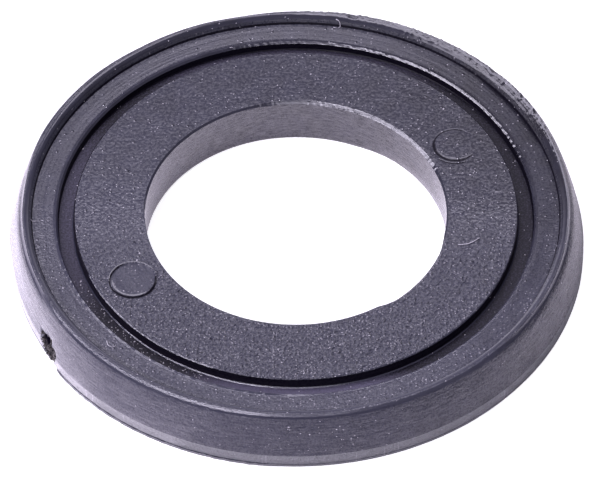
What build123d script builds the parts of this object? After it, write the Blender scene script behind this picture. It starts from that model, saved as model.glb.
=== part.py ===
from build123d import *
from math import cos, pi, radians, sin
import os

# Sealing ring, moulded in one piece of black rubber. Millimetres, +Z up, origin on the axis at the base.

# Inner face, the flat ring around the bore
bore_radius = 12.0
face_radius = 17.65
face_height = 4.3

# Channel between the inner face and the shelf
channel_width = 1.3
channel_depth = 0.95

# Shelf outside the channel, a little lower than the inner face and rising slightly towards the rim
shelf_radius = 20.95
shelf_drop = 0.15
shelf_rise = 0.1

# Raised rim around the shelf
rim_height = 0.6
rim_inner_slope = 0.38
rim_top_width = 0.62
rim_inner_round = 0.22
rim_outer_round = 0.34

# Side, flaring out towards the foot, and the upright band at the foot
foot_radius = 23.0
foot_band_height = 1.35
side_bulge = 0.08

# Small bevels and rounds of the mould
bore_edge_bevel = 0.15
face_edge_bevel = 0.08
channel_floor_bevel = 0.12
shelf_edge_bevel = 0.16
foot_edge_bevel = 0.2
base_bore_round = 0.4

# Two ejector pin marks opposite each other on the inner face
pin_mark_radius = 1.75
pin_mark_circle = 14.7
flush_mark_angle = 29.3
sunk_mark_angle = flush_mark_angle + 180
sunk_mark_depth = 0.07
flush_mark_line_width = 0.12
flush_mark_line_depth = 0.06

# Torn nick, a shallow ragged tear in the side from just above the base
nick_angle = 210.3
nick_length = 2.3
nick_height = 2.4
nick_rise = 1.35
nick_depth = 0.35
nick_taper = 24.0
nick_corners = 11
nick_raggedness = 0.13

# Sliver torn off the foot's lower edge beside the nick
sliver_angle = 211.8
sliver_arc = 3.0
sliver_height = 0.5
sliver_depth = 0.4

# How far the cutting shapes reach past the surface
cut_past = 1.0

# Worked out from the sizes above
shelf_height = face_height - shelf_drop
rim_top = face_height + rim_height
channel_outer_radius = face_radius + channel_width
channel_floor = face_height - channel_depth
rim_crest_start = shelf_radius + rim_inner_slope
rim_crest_end = rim_crest_start + rim_top_width
side_middle_radius = (rim_crest_end + foot_radius) / 2 + side_bulge
side_middle_height = (rim_top + foot_band_height) / 2


def corner_at(radius, height):
    """The section's corner nearest to one radius and height."""
    return section.vertices().sort_by_distance((radius, height, 0))[0]


with BuildPart() as ring:
    # Section of the whole ring, turned about the bore's axis
    with BuildSketch(Plane.XZ) as section:
        with BuildLine():
            Polyline(
                (foot_radius, foot_band_height),
                (foot_radius, 0),
                (bore_radius, 0),
                (bore_radius, face_height),
                (face_radius, face_height),
                (face_radius, channel_floor),
                (channel_outer_radius, channel_floor),
                (channel_outer_radius, shelf_height),
                (shelf_radius, shelf_height + shelf_rise),
                (rim_crest_start, rim_top),
                (rim_crest_end, rim_top),
            )
            ThreePointArc(
                (rim_crest_end, rim_top),
                (side_middle_radius, side_middle_height),
                (foot_radius, foot_band_height),
            )
        make_face()
        chamfer(corner_at(bore_radius, face_height), bore_edge_bevel)
        chamfer(corner_at(face_radius, face_height), face_edge_bevel)
        chamfer(corner_at(face_radius, channel_floor), channel_floor_bevel)
        chamfer(corner_at(channel_outer_radius, channel_floor), channel_floor_bevel)
        chamfer(corner_at(channel_outer_radius, shelf_height), shelf_edge_bevel)
        fillet(corner_at(rim_crest_start, rim_top), rim_inner_round)
        fillet(corner_at(rim_crest_end, rim_top), rim_outer_round)
        chamfer(corner_at(foot_radius, 0), foot_edge_bevel)
        fillet(corner_at(bore_radius, 0), base_bore_round)
    revolve(axis=Axis.Z)

    # Shallow round recess left by one ejector pin
    with BuildSketch(Plane.XY.offset(face_height)):
        with PolarLocations(pin_mark_circle, 1, start_angle=sunk_mark_angle):
            Circle(pin_mark_radius)
    extrude(amount=-sunk_mark_depth, mode=Mode.SUBTRACT)

    # Fine ring line left by the other ejector pin, its middle level with the face
    with BuildSketch(Plane.XY.offset(face_height)):
        with PolarLocations(pin_mark_circle, 1, start_angle=flush_mark_angle):
            Circle(pin_mark_radius)
            Circle(pin_mark_radius - flush_mark_line_width, mode=Mode.SUBTRACT)
    extrude(amount=-flush_mark_line_depth, mode=Mode.SUBTRACT)

    # Torn nick, a ragged outline on the side cut inwards with leaning walls
    nick_turn = radians(nick_angle)
    nick_plane = Plane(
        origin=(foot_radius * cos(nick_turn), foot_radius * sin(nick_turn), nick_rise),
        x_dir=(-sin(nick_turn), cos(nick_turn), 0),
        z_dir=(cos(nick_turn), sin(nick_turn), 0),
    )
    with BuildSketch(nick_plane):
        with BuildLine():
            turns = [2 * pi * k / nick_corners for k in range(nick_corners)]
            reach = [1 + nick_raggedness * sin(3 * t + 1) * cos(5 * t) for t in turns]
            Polyline(
                [
                    (nick_length / 2 * r * cos(t), nick_height / 2 * r * sin(t))
                    for t, r in zip(turns, reach)
                ],
                close=True,
            )
        make_face()
    extrude(amount=-nick_depth, taper=nick_taper, mode=Mode.SUBTRACT)

    # Sliver missing from the lower edge, cut by turning a small wedge part of the way round
    with BuildSketch(Plane.XZ.rotated((0, 0, sliver_angle))):
        with BuildLine():
            Polyline(
                (foot_radius + cut_past, -cut_past),
                (foot_radius + cut_past, sliver_height),
                (foot_radius, sliver_height),
                (foot_radius - sliver_depth, 0),
                (foot_radius - sliver_depth, -cut_past),
                close=True,
            )
        make_face()
    revolve(axis=Axis.Z, revolution_arc=sliver_arc, mode=Mode.SUBTRACT)

ring.part.label = "ring"
os.makedirs("parts", exist_ok=True)
export_step(ring.part, "parts/ring.step")
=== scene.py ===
"""Sealing ring moulded in one piece of black rubber: its worn body, its dust and fibres, and a pale stage.

Metres, +Z up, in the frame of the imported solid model. Angles round the ring are in degrees from +X.
"""

import math
from types import SimpleNamespace

import bmesh
import bpy
import numpy as np
from bpy.props import FloatProperty, FloatVectorProperty, IntProperty, PointerProperty
from mathutils import Matrix, Vector, noise
from mathutils.bvhtree import BVHTree
from mathutils.geometry import delaunay_2d_cdt


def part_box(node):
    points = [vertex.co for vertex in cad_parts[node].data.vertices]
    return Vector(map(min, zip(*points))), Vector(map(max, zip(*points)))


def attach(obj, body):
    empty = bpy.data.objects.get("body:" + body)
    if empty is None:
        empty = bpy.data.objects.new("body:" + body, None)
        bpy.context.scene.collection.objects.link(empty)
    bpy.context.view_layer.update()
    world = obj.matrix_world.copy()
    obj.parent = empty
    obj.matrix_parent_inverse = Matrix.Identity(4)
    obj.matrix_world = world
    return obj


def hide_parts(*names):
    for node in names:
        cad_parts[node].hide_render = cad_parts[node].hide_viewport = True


bl_info = {
    "name": "Sealing ring",
    "version": (1, 0, 0),
    "blender": (4, 5, 0),
    "location": "3D View > Sidebar > Sealing ring",
    "description": "A moulded rubber sealing ring with its grain, wear, torn nick and dust, on a pale stage",
    "category": "Add Mesh",
}

MM = 0.001

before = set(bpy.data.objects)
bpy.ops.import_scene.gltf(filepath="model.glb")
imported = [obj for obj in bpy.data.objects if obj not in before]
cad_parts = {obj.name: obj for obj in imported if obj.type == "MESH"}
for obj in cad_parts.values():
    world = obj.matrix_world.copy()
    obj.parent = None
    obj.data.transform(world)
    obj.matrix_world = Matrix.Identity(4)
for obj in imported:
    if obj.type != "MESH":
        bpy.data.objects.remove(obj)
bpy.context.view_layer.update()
_, RING_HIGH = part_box("ring")


# Properties


def linear(hex_colour):
    """An sRGB hex colour as linear red, green and blue."""
    channels = [int(hex_colour[k : k + 2], 16) / 255 for k in (1, 3, 5)]
    return [c / 12.92 if c <= 0.04045 else ((c + 0.055) / 1.055) ** 2.4 for c in channels]


def length(name, description, default):
    """A size of the ring or of the stage, in metres."""
    return FloatProperty(
        name=name, description=description, default=default, min=0, precision=5, unit="LENGTH"
    )


def angle(name, description, degrees):
    """A place round the ring, or a camera angle."""
    return FloatProperty(name=name, description=description, default=math.radians(degrees), subtype="ANGLE")


def factor(name, description, default):
    """A plain number from 0 up."""
    return FloatProperty(
        name=name, description=description, default=default, min=0, precision=3, subtype="FACTOR"
    )


def colour(name, description, hex_colour):
    """A surface colour."""
    return FloatVectorProperty(
        name=name, description=description, default=linear(hex_colour), min=0, max=1, subtype="COLOR"
    )


class RingSizes(bpy.types.PropertyGroup):
    """The section of the ring and the marks on it."""

    bore_radius: length("Bore radius", "Radius of the round bore", 12.0 * MM)
    face_radius: length("Face radius", "Outer radius of the flat inner face", 17.65 * MM)
    face_height: length("Face height", "Height of the flat inner face", 4.3 * MM)
    channel_width: length("Channel width", "Width of the channel outside the inner face", 1.3 * MM)
    channel_depth: length("Channel depth", "Depth of the channel below the inner face", 0.95 * MM)
    shelf_radius: length("Shelf radius", "Radius where the shelf meets the rim", 20.95 * MM)
    shelf_drop: length("Shelf drop", "How far the shelf lies below the inner face", 0.15 * MM)
    shelf_rise: length("Shelf rise", "How far the shelf rises towards the rim", 0.1 * MM)
    rim_slope: length("Rim slope", "Radial width of the rim's inner slope", 0.38 * MM)
    rim_top_width: length("Rim top width", "Width of the rim's flat crest", 0.62 * MM)
    rim_inner_round: length("Rim inner round", "Rounding of the rim's inner edge", 0.22 * MM)
    rim_outer_round: length("Rim outer round", "Rounding of the rim's outer edge", 0.34 * MM)
    band_height: length("Foot band height", "Height of the upright band at the foot", 1.35 * MM)
    side_bulge: length("Side bulge", "How far the side bulges out of a straight flare", 0.08 * MM)
    edge_bevel: length("Edge bevel", "Bevel of the bore's and shelf's upper edges", 0.15 * MM)
    face_bevel: length("Face bevel", "Bevel of the inner face's outer edge", 0.08 * MM)
    floor_bevel: length("Floor bevel", "Bevel at the foot of the channel's walls", 0.08 * MM)
    wall_draft: length("Wall draft", "How far the channel's inner wall leans out at its foot", 0.07 * MM)
    bead_width: length("Bead width", "Width of the bead along the shelf's inner edge", 0.2 * MM)
    line_height: length("Line height", "Height of the fine line round the foot", 0.3 * MM)
    foot_bevel: length("Foot bevel", "Bevel of the foot's lower edge", 0.2 * MM)
    bore_round: length("Bore round", "Rounding of the bore's lower edge", 0.4 * MM)
    mark_radius: length("Pin mark radius", "Radius of the two ejector pin marks", 1.75 * MM)
    mark_circle: length("Pin mark circle", "Radius of the circle that the pin marks stand on", 14.7 * MM)
    mark_angle: angle("Pin mark angle", "Place of the flush pin mark; the sunk one is opposite", 29.3)
    mark_depth: length("Pin mark depth", "Depth of the sunk pin mark", 0.07 * MM)
    nick_angle: angle("Nick angle", "Place of the torn nick in the side", 211.1)
    nick_length: length("Nick length", "Length of the torn nick round the side", 2.8 * MM)
    nick_height: length("Nick height", "Height of the torn nick", 2.6 * MM)
    nick_rise: length("Nick rise", "Height of the nick's middle above the base", 1.15 * MM)
    nick_depth: length("Nick depth", "Depth of the nick into the side", 0.35 * MM)
    segments: IntProperty(name="Segments", description="Faces round the ring", default=900, min=90, max=1400)


class RubberLook(bpy.types.PropertyGroup):
    """Colours of the rubber, of what lies on it and of the stage."""

    bloom: colour("Bloomed rubber", "Upper surfaces, faintly greyed by bloom", "#3F3F4D")
    compound: colour("Clean rubber", "Side and bore, without bloom", "#23222A")
    band: colour("Scuffed rubber", "Upright band at the foot, scuffed grey", "#8A8A8E")
    # Greys the channel's floor, as dust and as painted light
    dusty: colour("Dusty", "Rubber under a film of settled dust", "#85809A")
    # Painted shade: darker than the clean compound, for the channel, the crease at the rim's foot, the pin
    # marks' outlines, the far left of the face's edge and deep in the tear
    channel: colour("Rubber in the channel", "Channel walls and floor, never rubbed or bloomed", "#110E1A")
    torn: colour("Torn rubber", "Raw rubber inside the nick", "#1E1B1F")
    torn_light: colour("Torn fibres", "Stretched, paler shreds inside the nick", "#6E6866")
    dust: colour("Dust", "Mineral dust lying on the ring", "#D9D5DC")
    lint: colour("Lint", "Hairs and textile fibres lying on the ring", "#DCD8E0")


class StageSetup(bpy.types.PropertyGroup):
    """Camera, floor and lamps."""

    elevation: angle("Camera elevation", "Angle of the camera above the horizon", 47.629)
    roll: angle("Camera roll", "Turn of the camera about its own axis", -0.259)
    distance: length("Camera distance", "From the camera to the point that it looks at", 441.25 * MM)
    lens: FloatProperty(name="Lens", description="Focal length", default=334.4, min=1, unit="CAMERA")
    aim: FloatVectorProperty(
        name="Aim",
        description="The point that the camera looks at",
        default=(0.327 * MM, -2.909 * MM, 4.3 * MM),
        precision=5,
        subtype="TRANSLATION",
    )
    floor_size: length("Floor size", "Side of the pale sheet under the ring", 1.6)
    floor: colour("Floor", "Pale sheet under the ring", "#EFEEF0")
    back_light: factor("Back light", "Radiance of the large softbox at the back", 5.6)
    top_light: factor("Top light", "Radiance of the small softbox up on the left", 6.72)
    left_light: factor("Left light", "Radiance of the strip softbox at the front left", 15.0)
    tint: colour("Lamp tint", "Cool daylight of the lamps and the room", "#F1EBFF")
    front_light: factor("Front light", "Radiance of the small softbox at the front", 4.5)
    left_roll: angle("Left lamp roll", "Turn of the strip softbox about its own axis", 15.0)
    room_light: factor("Room light", "Radiance of the room overhead", 0.26)
    wall_light: factor("Wall light", "Radiance of the pale wall behind the ring", 1.17)
    card_glow: factor("Card glow", "How far the card glows where the camera sees it", 0.75)
    table_tint: colour("Table tint", "Slightly rosy white of the light table and the card", "#F6ECFF")
    table_light: factor("Table light", "Radiance of the light table at its brightest", 2.2)


# Shapes round the ring


def smooth_step(low, high, value):
    """0 below low, 1 above high and an even curve between."""
    t = np.clip((value - low) / (high - low), 0, 1)
    return t * t * (3 - 2 * t)


def stretch(turns, start, end, fade):
    """1 between two angles round the ring, fading to 0 over a further angle; all in degrees."""
    away = np.abs((turns - (start + end) / 2 + 180) % 360 - 180)
    return 1 - smooth_step((end - start) / 2, (end - start) / 2 + fade, away)


def wander(turns, radius, longest, shortest, seed):
    """Even random waviness round a circle, about -1 to 1, with waves from longest to shortest."""
    draw = np.random.default_rng(seed)
    fewest = max(1, round(math.tau * radius / longest))
    most = max(fewest + 1, round(math.tau * radius / shortest))
    parts = 28
    total = np.zeros_like(turns)
    for waves, shift in zip(draw.integers(fewest, most, parts), draw.uniform(0, math.tau, parts)):
        total += np.cos(np.radians(turns) * waves + shift)
    return total / math.sqrt(parts)


def roughness(radius, turns, height, grain, seed):
    """Random relief over a surface, about -1 to 1, with lumps of one grain size."""
    around = np.radians(turns)
    points = np.stack(np.broadcast_arrays(radius * np.cos(around), radius * np.sin(around), height), -1)
    points = points.reshape(-1, 3) / grain + seed * 17.3
    return np.array([noise.noise(p) for p in points]).reshape(np.broadcast(radius, turns, height).shape)


class Section:
    """One section of the ring: rows of points, each named for the surface that it ends."""

    def __init__(self, radius, height):
        self.rows = [(radius, height, "base")]

    def line(self, surface, radius, height, steps=1):
        """A straight stretch in even steps."""
        start_radius, start_height, _ = self.rows[-1]
        for t in np.linspace(0, 1, steps + 1)[1:]:
            along = start_radius + (radius - start_radius) * t
            self.rows.append((along, start_height + (height - start_height) * t, surface))

    def bend(self, surface, corner, end, steps, first=None):
        """A round stretch that leaves towards a corner and arrives from it; first names its first half."""
        start = self.rows[-1][:2]
        for k, t in enumerate(np.linspace(0, 1, steps + 1)[1:]):
            near, middle, far = (1 - t) ** 2, 2 * t * (1 - t), t * t
            radius, height = (near * a + middle * b + far * c for a, b, c in zip(start, corner, end))
            self.rows.append((radius, height, first if first and 2 * k < steps else surface))

    def mark(self):
        """The number of the last row."""
        return len(self.rows) - 1


def ring_section(sizes):
    """The ring's section from the bore's foot, over the top, down the side and back under the base.

    Returns the section and the row that ends at the inner face, which the face's own mesh fills.
    """
    s = sizes
    top = RING_HIGH.z
    foot = RING_HIGH.x
    floor = s.face_height - s.channel_depth
    wall = s.face_radius + s.channel_width
    shelf = s.face_height - s.shelf_drop
    crease = (s.shelf_radius, shelf + s.shelf_rise)
    crest_in = (s.shelf_radius + s.rim_slope, top)
    crest_out = (crest_in[0] + s.rim_top_width, top)
    side_middle = ((crest_out[0] + foot) / 2 + s.side_bulge, (top + s.band_height) / 2)
    side_corner = tuple(2 * m - (a + b) / 2 for m, a, b in zip(side_middle, crest_out, (foot, s.band_height)))

    section = Section(s.bore_radius + s.bore_round, 0)
    section.bend("bore", (s.bore_radius, 0), (s.bore_radius, s.bore_round), 4)
    section.line("bore", s.bore_radius, s.face_height - s.edge_bevel, 5)
    section.line("bore_edge", s.bore_radius + s.edge_bevel, s.face_height, 3)
    face_row = section.mark()
    section.line("face", s.face_radius - s.face_bevel, s.face_height)
    section.line("face_edge", s.face_radius, s.face_height - s.face_bevel, 2)
    section.line("channel", s.face_radius + s.wall_draft, floor + s.floor_bevel, 3)
    section.line("channel_edge", s.face_radius + s.wall_draft + s.floor_bevel, floor, 2)
    section.line("channel_floor", wall - s.floor_bevel, floor, 5)
    section.line("channel", wall, floor + s.floor_bevel, 2)
    section.line("channel", wall, shelf - s.edge_bevel, 2)
    section.line("shelf_edge", wall + s.edge_bevel, shelf, 3)
    section.line("bead", wall + s.edge_bevel + s.bead_width, shelf, 3)
    section.line("shelf", crease[0] - s.face_bevel, crease[1], 7)
    section.line("shelf", *crease, 1)

    # A bend reaches further along its sides than its radius, and the outer edge is worn to a narrow ridge
    inner_round = s.rim_inner_round * 1.3
    ridge = s.rim_outer_round * 0.48
    crease_width = 0.18 * MM
    half_line = 0.035 * MM
    slope = (Vector(crest_in) - Vector(crease)).normalized()
    section.line("rim_foot", *(Vector(crease) + slope * crease_width), 2)
    section.line("rim_slope", *(Vector(crest_in) - slope * inner_round), 3)
    section.bend("rim_edge", crest_in, (crest_in[0] + inner_round, top), 4, first="rim_edge_low")
    section.line("rim", crest_out[0] - ridge, top, 3)
    section.line("ridge", crest_out[0] - ridge * 0.1, top - ridge * 0.9, 4)
    section.line("ridge", crest_out[0] + ridge * 0.45, top - ridge * 1.85, 3)
    section.bend("side", tuple(side_corner), (foot, s.band_height), 14)
    section.line("band", foot, s.line_height + half_line, 6)
    section.line("foot_line", foot, s.line_height - half_line, 2)
    section.line("band", foot, s.foot_bevel, 1)
    section.line("foot_edge", foot - s.foot_bevel, 0, 2)
    section.line("base", foot - s.foot_bevel * 8, 0, 1)
    section.line("base", s.bore_radius + s.bore_round * 4, 0, 3)
    return section, face_row


def near_point(radius, height, point, reach):
    """1 at a corner of the section, fading to 0 over its reach."""
    return np.exp(-((radius - point[0]) ** 2 + (height - point[1]) ** 2) / reach**2)


def roughen_edge(radius, height, turns, corner, reach, share, outwards, upwards):
    """Roughens one edge by a share at each angle.

    outwards and upwards each give a depth, the longest and the shortest wave, and a seed.
    """
    edge = near_point(radius, height, corner, reach) * share
    depth, longest, shortest, seed = outwards
    radius += edge * depth * wander(turns, corner[0], longest, shortest, seed)
    depth, longest, shortest, seed = upwards
    height += edge * depth * wander(turns, corner[0], longest, shortest, seed)
    return radius, height


def wear_bore(radius, height, turns, s):
    """Wears the bore's edges: the upper one is ragged on the far right and rubbed away on the near right."""
    # The upper bevel is wider on the far right
    outwards = np.clip((radius - s.bore_radius) / s.edge_bevel, 0, 1)
    in_bevel = (height > s.face_height - 1.2 * s.edge_bevel) & (radius < s.bore_radius + 1.5 * s.edge_bevel)
    wider = 0.08 * MM * stretch(turns, 24, 96, 14) * in_bevel
    radius += wider * outwards
    height -= wider * (1 - outwards)

    edge = near_point(radius, height, (s.bore_radius, s.face_height), 0.2 * MM)
    worn = stretch(turns, 312, 338, 12)
    rough = 0.35 + 0.65 * stretch(turns, 20, 100, 15)
    # The edge is full on the near side, where it has hardly been used
    full = stretch(turns, 186, 300, 10)
    ragged = 0.02 * MM * rough * wander(turns, s.bore_radius, 2 * MM, 0.35 * MM, 11)
    chipped = 0.014 * MM * rough * np.abs(wander(turns, s.bore_radius, 1.2 * MM, 0.3 * MM, 12))
    radius += edge * (ragged + 0.3 * MM * worn - 0.16 * MM * full)
    height -= edge * (chipped + 0.1 * MM * worn)
    filled = np.minimum(height + edge * 0.1 * MM * full, s.face_height)
    height = np.where((edge > 0.2) & (full > 0), filled, height)
    radius = np.maximum(radius, s.bore_radius)

    # The lower edge is rounder on the far right
    flare = near_point(radius, height, (s.bore_radius, 0), 0.5 * MM) * stretch(turns, 12, 48, 22)
    return radius + flare * 0.22 * MM, height


def wear_face_and_shelf(radius, height, turns, s):
    """Wears the edges on both sides of the channel, raises the shelf's bead and opens the rim's crease."""
    shelf = s.face_height - s.shelf_drop
    wall = s.face_radius + s.channel_width

    face_corner = (s.face_radius, s.face_height)
    beaded = 0.4 + 0.6 * np.maximum(stretch(turns, 190, 270, 12), stretch(turns, 32, 82, 10))
    outwards = (0.018 * MM, 1.2 * MM, 0.32 * MM, 21)
    upwards = (0.016 * MM, 0.9 * MM, 0.32 * MM, 22)
    radius, height = roughen_edge(radius, height, turns, face_corner, 0.11 * MM, beaded, outwards, upwards)

    ragged = 0.2 + 0.8 * stretch(turns, 0, 110, 12)
    outwards = (0.03 * MM, 1.6 * MM, 0.34 * MM, 31)
    upwards = (0.022 * MM, 1.1 * MM, 0.34 * MM, 32)
    radius, height = roughen_edge(radius, height, turns, (wall, shelf), 0.16 * MM, ragged, outwards, upwards)

    # The shelf's inner edge stands up in a bead on the near left, and falls gently to the shelf
    across = (radius - wall - s.edge_bevel) / s.bead_width
    bead = np.clip(1 - np.abs(across), 0, 1) * (np.abs(height - shelf) < s.edge_bevel)
    bead_height = 0.085 * MM * stretch(turns, 196, 262, 14)
    height += bead * bead_height * (0.8 + 0.25 * wander(turns, wall, 2.4 * MM, 0.45 * MM, 33))

    # The crease is deepest on the far right and closed on the near side
    crease = near_point(radius, height, (s.shelf_radius, shelf + s.shelf_rise), 0.1 * MM)
    opened = 0.015 * MM + 0.07 * MM * stretch(turns, 25, 40, 6)
    drawn = 1 - 0.9 * stretch(turns, 235, 345, 15)
    height -= crease * drawn * (opened + 0.008 * MM * wander(turns, s.shelf_radius, 2 * MM, 0.4 * MM, 41))
    return radius, height


# Notches in the far rim: angle and half width in degrees, and depth in millimetres
NOTCHES = ((28, 0.5, 0.13), (33.5, 0.45, 0.12), (43, 1.4, 0.09), (56, 0.5, 0.05), (77, 0.6, 0.12))


def wear_rim(radius, height, turns, s):
    """Wears the rim: frayed and notched on the far right, rounded on the right and left, rubbed near left."""
    top = RING_HIGH.z
    crest = s.shelf_radius + s.rim_slope
    crest_end = crest + s.rim_top_width

    rim = near_point(radius, height, (crest + s.rim_top_width * 0.7, top), 0.3 * MM)
    frayed = 0.05 + 0.95 * stretch(turns, 20, 84, 10)
    height -= rim * 0.06 * MM * frayed * np.abs(wander(turns, crest, 1.8 * MM, 0.3 * MM, 51))
    radius += rim * 0.05 * MM * frayed * wander(turns, crest, 2.4 * MM, 0.34 * MM, 52)

    # The outer shoulder is worn rounder on the right and the left, and sharp at the far left
    shoulder = near_point(radius, height, (crest_end + 0.02 * MM, top - 0.14 * MM), 0.3 * MM)
    rounder = np.maximum(stretch(turns, -32, 16, 20), 0.8 * stretch(turns, 176, 200, 12))
    rounder -= 0.6 * stretch(turns, 112, 156, 12)
    radius -= shoulder * 0.13 * MM * rounder
    height -= shoulder * 0.08 * MM * rounder

    # On the near left the shoulder is a wide, polished bevel
    out, down = radius - crest_end, height - top
    bevel = np.exp(-((np.hypot(out, down) / (0.32 * MM)) ** 4))
    polished = 0.42 * stretch(turns, 222, 250, 20)
    radius += out * bevel * polished
    height += down * bevel * polished

    # The crest falls slightly inwards along the far right
    on_rim = smooth_step(crest - 0.3 * MM, crest, radius)
    inwards = np.clip((crest_end - radius) / s.rim_top_width, 0, 1) * on_rim
    height -= inwards * 0.09 * MM * stretch(turns, 14, 108, 16) * (height > top - 0.2 * MM)
    for place, width, depth in NOTCHES:
        notch = rim * np.exp(-(((turns - place) / width) ** 2)) * depth * MM
        radius -= notch
        height -= 0.7 * notch
    return radius, height


def bend_out_of_round(radius, height, turns, s):
    """Lets the soft ring lie as it does: the rim and the foot are a little out of round."""
    crest = s.shelf_radius + s.rim_slope
    outer = smooth_step(crest - s.rim_slope * 0.5, crest + s.rim_top_width, radius)
    rise = smooth_step(s.band_height, RING_HIGH.z, height)
    rim_shift = 0.22 * stretch(turns, 32, 72, 24) - 0.12 * stretch(turns, 106, 124, 16)
    foot_shift = -0.26 * stretch(turns, 188, 206, 12) - 0.03
    return radius + outer * MM * (rise * rim_shift + (1 - rise) * foot_shift)


def tear_foot(radius, height, turns, s):
    """Cuts the torn nick and its sliver into the foot. Returns the radius and where the rubber is torn."""
    foot = RING_HIGH.x
    outside = smooth_step(foot - 1.6 * MM, foot - 0.9 * MM, radius)
    along = (turns - math.degrees(s.nick_angle) + 180) % 360 - 180
    across = np.radians(along) * foot / (s.nick_length / 2)
    up = (height - s.nick_rise) / (s.nick_height / 2)
    ragged = 0.34 * roughness(radius, turns, height, 0.5 * MM, 61)
    ragged += 0.2 * roughness(radius, turns, height, 0.2 * MM, 62)
    # The tear runs down into a tail at its right end, and is deepest high up at its left one
    away = np.hypot(across, up + 0.2 * across) + ragged
    inside = 1 - smooth_step(0.82, 1.0, away)
    hole = np.exp(-((across + 0.48) ** 2 + (up - 0.5) ** 2) / 0.08)
    shreds = 0.6 + 0.8 * roughness(radius, turns, height, 0.4 * MM, 63)
    shreds += 0.3 * roughness(radius, turns, height, 0.16 * MM, 64)
    nick = inside * s.nick_depth * (np.clip(shreds, 0.1, None) + 1.9 * hole)
    # The foot's own corner is only chipped
    nick *= 0.45 + 0.55 * smooth_step(0.1 * MM, 0.7 * MM, height)

    # Beside the nick a thin sliver is torn off the foot's corner
    sliver_height = 0.5 * MM
    sliver_depth = 0.4 * MM
    under = np.clip(1 - height / sliver_height, 0, 1) * stretch(turns, 212.0, 214.2, 0.5)
    sliver = under * sliver_depth * (1 + 0.2 * wander(turns, foot, 1.4 * MM, 0.35 * MM, 65))
    cut = np.maximum(nick, sliver) * outside
    return radius - cut, np.clip(inside * outside * 1.2, 0, 1)


def finish_foot(radius, height, turns, s):
    """Draws the fine parting line low on the band, with its flash lip left on one stretch below it."""
    foot = RING_HIGH.x
    on_band = (radius > foot - 0.6 * MM) & (height < s.band_height)
    line = np.exp(-(((height - s.line_height) / (0.045 * MM)) ** 2)) * on_band
    drawn = 0.35 + 0.65 * stretch(turns, 200, 300, 20)
    lip = (height < s.line_height - 0.03 * MM) & on_band
    flash = stretch(turns, 215, 262, 6) * 0.06 * MM * (1 + 0.3 * wander(turns, foot, 3 * MM, 0.5 * MM, 71))
    # On the near side the corner is full, as the flash was trimmed there
    corner = on_band * (height < 0.02 * MM) * 0.14 * MM * stretch(turns, 216, 345, 6)
    inset = 0.045 * MM * (1 - stretch(turns, -24, 24, 20))
    return radius - line * drawn * 0.05 * MM - on_band * inset + lip * flash + corner


def worn_rows(section, s):
    """Every row of the section at every angle, with the ring's wear: radius, height, turns and torn share."""
    turns = np.linspace(0, 360, s.segments, endpoint=False)[None, :]
    rows = np.array([(r, z) for r, z, _ in section.rows])
    radius = np.repeat(rows[:, :1], s.segments, 1)
    height = np.repeat(rows[:, 1:], s.segments, 1)
    for wear in (wear_bore, wear_face_and_shelf, wear_rim):
        radius, height = wear(radius, height, turns, s)
    radius = bend_out_of_round(radius, height, turns, s)
    radius = finish_foot(radius, height, turns, s)
    outer = smooth_step(RING_HIGH.x - 1.9 * MM, RING_HIGH.x - 1.3 * MM, radius)
    radius += outer * 0.008 * MM * roughness(radius, turns, height * 3, 1.1 * MM, 81)
    radius, torn = tear_foot(radius, height, turns, s)
    return np.minimum(radius, RING_HIGH.x), np.clip(height, 0, RING_HIGH.z), turns, torn


# The flat inner face


def mark_centres(s):
    """Centres of the flush and of the sunk pin mark."""
    flush = Vector((math.cos(s.mark_angle), math.sin(s.mark_angle))) * s.mark_circle
    return flush, -flush


def on_side(offset, start, end, fade):
    """1 on one side of a pin mark, between two directions from its centre, fading to 0; all in degrees."""
    direction = math.degrees(math.atan2(offset.y, offset.x))
    return float(stretch(np.array(direction), start, end, fade))


def ring_line(reach, radius, width):
    """1 on a circle, fading to 0 over its line's half width."""
    return math.exp(-(((reach - radius) / width) ** 2))


def sunk_outline(offset, s):
    """Where the sunk pin mark's outline is painted in shade, widest on its near right."""
    wide = on_side(offset, 250, 345, 40)
    drawn = 1 - 0.6 * on_side(offset, 20, 110, 25)
    clear = on_side(offset, 195, 300, 40)
    place = s.mark_radius + (0.03 + 0.08 * clear) * MM
    return drawn * ring_line(offset.length, place, (0.065 + 0.065 * wide) * MM)


def lip_highlight(offset, s):
    """Painted highlight in pale scuffed grey on the sunk pin mark's lip: inside its outline near left,
    outside it far left.
    """
    inner = ring_line(offset.length, s.mark_radius - 0.1 * MM, 0.07 * MM) * on_side(offset, 190, 300, 20)
    outer = ring_line(offset.length, s.mark_radius + 0.13 * MM, 0.06 * MM) * on_side(offset, 45, 175, 25)
    return max(inner, outer)


def sunk_mark_relief(offset, s):
    """The recess of the worn pin: a slight dome that rolls over into a groove on its near side."""
    reach = offset.length
    if reach > s.mark_radius * MARK_REACH:
        return 0.0
    near_side = on_side(offset, 200, 330, 40)
    far_side = on_side(offset, 15, 190, 25)
    inside = 1 - float(smooth_step(s.mark_radius - 0.1 * MM, s.mark_radius, reach))
    dome = 0.05 * MM * (1 - (reach / s.mark_radius) ** 2)
    floor = (dome - s.mark_depth) * inside
    shoulder = 0.085 * MM * near_side * ring_line(reach, 1.5 * MM, 0.2 * MM)
    groove = -0.12 * MM * near_side * ring_line(reach, 1.85 * MM, 0.1 * MM)
    lip = 0.07 * MM * far_side * ring_line(reach, 1.87 * MM, 0.08 * MM)
    return floor + shoulder + groove + lip


def flush_outline(offset, s):
    """The flush pin mark's outline, a shallow groove that is also painted in shade: widest on its near left,
    fading out towards the channel.
    """
    drawn = 1 - on_side(offset, -15, 45, 35)
    wide = on_side(offset, 190, 285, 35)
    line = ring_line(offset.length, s.mark_radius - 0.05 * MM, (0.05 + 0.075 * wide) * MM)
    second = on_side(offset, 235, 290, 12) * ring_line(offset.length, 2.02 * MM, 0.05 * MM)
    return drawn * max(line, second)


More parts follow.
